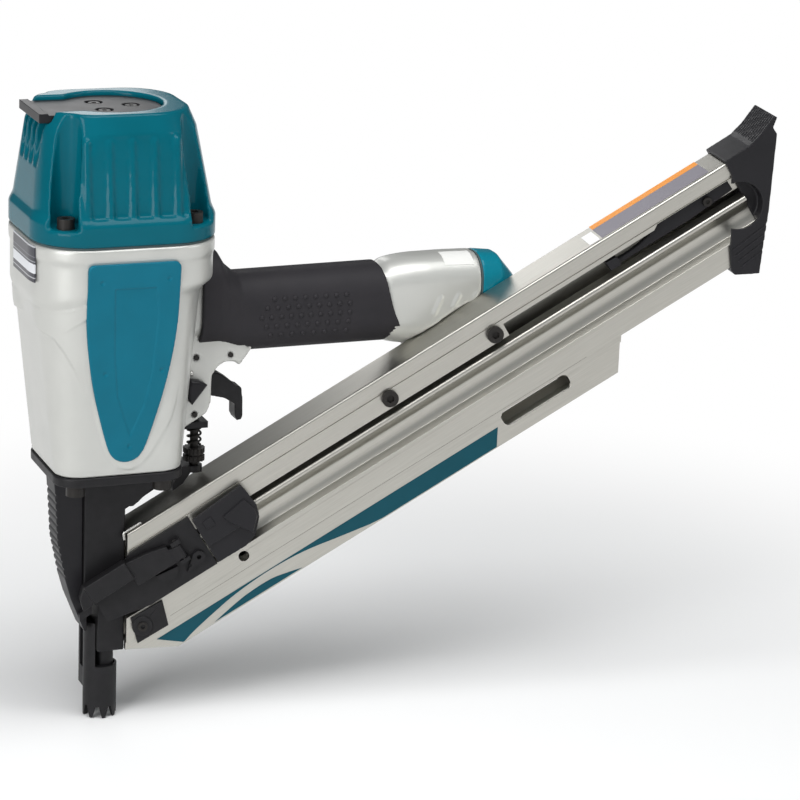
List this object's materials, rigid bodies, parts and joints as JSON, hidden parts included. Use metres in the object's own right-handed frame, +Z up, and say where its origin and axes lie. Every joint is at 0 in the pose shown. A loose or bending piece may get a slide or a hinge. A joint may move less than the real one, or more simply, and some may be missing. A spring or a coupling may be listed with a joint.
{
  "type": "pneumatic framing nailer",
  "caption": "Air-driven framing nailer: a tapered head with a ribbed cap, a side handle with trigger and air plug, a nose with a toothed contact foot, and a long slanted stick magazine.",
  "frame": {"origin": "muzzle of the fixed nose, on the driver axis", "axes": "+Z up the driver axis to the cap, +X back along the handle"},
  "size_m": [0.449, 0.1226, 0.372],
  "materials": {
    "silver_casting": "silver metallic paint",
    "teal_cap": "glossy teal paint",
    "teal_end": "glossy teal moulding",
    "teal_pad": "satin moulded pad",
    "black_moulding": "fine moulded grain",
    "black_steel": "blackened steel",
    "black_screws": "black oxide",
    "extruded_aluminium": "satin anodised extrusion",
    "bare_aluminium": "machined",
    "bright_steel": "ground",
    "spring_steel": "wire",
    "grip_rubber": "black rubber with small dimples",
    "seal_rubber": "smooth",
    "filter_bronze": "sintered",
    "plate_foil": "bare dark foil"
  },
  "bodies": {
    "tool": {"air_filter": "filter_bronze", "air_plug": "bright_steel", "bracket_pins": "black_screws", "bumper": "seal_rubber", "cap_bolts": "black_screws", "cap_gasket": "seal_rubber", "clamp_screw": "black_screws", "contact_spring": "spring_steel", "cylinder_cap": "teal_cap", "cylinder_seal": "seal_rubber", "cylinder_sleeve": "bare_aluminium", "detent_ball": "bright_steel", "end_cap_screws": "black_screws", "end_gasket": "seal_rubber", "exhaust_deflector": "black_moulding", "exhaust_screws": "black_screws", "foot_bolts": "black_screws", "front_clamp": "black_steel", "grip_sleeve": "grip_rubber", "handle_end_cap": "teal_end", "head_valve_spring": "spring_steel", "housing": "silver_casting", "latch_catch": "black_steel", "latch_pin": "bright_steel", "magazine_bolts": "black_screws", "magazine_end_cap": "black_moulding", "magazine_lower_plate": "extruded_aluminium", "magazine_rail": "extruded_aluminium", "magazine_side_cover": "black_steel", "magazine_side_rail": "extruded_aluminium", "nail_stop_screw": "black_screws", "nose_bolts": "black_screws", "nose_casting": "black_steel", "nose_guide": "black_moulding", "rating_plate": "plate_foil", "rod_guide": "black_steel", "side_pad_left": "teal_pad", "side_pad_right": "teal_pad", "trigger_valve_sleeve": "black_moulding", "trigger_valve_spring": "spring_steel", "wire_clip": "bright_steel"},
    "driver": {"piston": "bare_aluminium", "piston_ring": "seal_rubber", "driver_blade": "bright_steel"},
    "head_valve": {"head_valve": "black_moulding"},
    "trigger": {"trigger": "black_steel"},
    "valve_stem": {"trigger_valve_stem": "bright_steel"},
    "selector": {"mode_selector": "black_moulding", "selector_clip": "bright_steel"},
    "contact_link": {"contact_rod": "bright_steel"},
    "contact_foot": {"contact_foot": "black_steel"},
    "depth_dial": {"depth_dial": "black_screws"},
    "pusher": {"pusher": "black_moulding", "pusher_axle": "bright_steel", "pusher_spring": "spring_steel"},
    "nail_stop": {"nail_stop": "black_moulding"},
    "latch": {"latch_lever": "black_steel"}
  },
  "joints": [
    {"name": "driver_stroke", "type": "slide", "parent": "tool", "child": "driver", "axis": [0, 0, -1], "range_m": [0, 0.106]},
    {"name": "head_valve_lift", "type": "slide", "parent": "tool", "child": "head_valve", "axis": [0, 0, 1], "range_m": [0, 0.008], "stiffness_N_per_m": 1500, "springref_m": -0.004, "deforming": ["head_valve_spring"]},
    {"name": "trigger_pull", "type": "hinge", "parent": "tool", "child": "trigger", "pos_m": [0.0492, 0, 0.1938], "axis": [0, -1, 0], "range_deg": [0, 12], "stiffness_Nm_per_rad": 1.5, "springref_deg": -11.46},
    {"name": "valve_stem_lift", "type": "slide", "parent": "tool", "child": "valve_stem", "axis": [0, 0, 1], "range_m": [0, 0.0028], "deforming": ["trigger_valve_spring"]},
    {"name": "mode_turn", "type": "hinge", "parent": "tool", "child": "selector", "pos_m": [0.0492, 0, 0.1938], "axis": [0, 1, 0], "range_deg": [0, 40]},
    {"name": "contact_lift", "type": "slide", "parent": "tool", "child": "contact_link", "axis": [0, 0, 1], "range_m": [0, 0.008], "stiffness_N_per_m": 600, "springref_m": -0.01, "deforming": ["contact_spring"]},
    {"name": "depth_set", "type": "slide", "parent": "contact_link", "child": "contact_foot", "axis": [0, 0, 1], "range_m": [0, 0.0025]},
    {"name": "dial_turn", "type": "hinge", "parent": "contact_link", "child": "depth_dial", "pos_m": [0.054, 0, 0.151], "axis": [0, 0, 1], "range_deg": [0, 720]},
    {"name": "pusher_slide", "type": "slide", "parent": "tool", "child": "pusher", "axis": [0.8476, -0.1116, 0.5188], "range_m": [0, 0.3], "stiffness_N_per_m": 30, "springref_m": -0.4},
    {"name": "nail_stop_rock", "type": "hinge", "parent": "tool", "child": "nail_stop", "pos_m": [0.35326, -0.05599, 0.3019], "axis": [-0.5143, 0.0677, 0.8549], "range_deg": [0, 2.5], "stiffness_Nm_per_rad": 1, "springref_deg": -5.73},
    {"name": "latch_swing", "type": "hinge", "parent": "tool", "child": "latch", "pos_m": [0.03859, -0.02485, 0.09948], "axis": [-0.5143, 0.0677, 0.8549], "range_deg": [0, 100]}
  ],
  "couplings": [
    {"joint": "valve_stem_lift", "follows": "trigger_pull", "m_per_rad": 0.0128},
    {"joint": "dial_turn", "follows": "depth_set", "rad_per_m": 5026}
  ]
}
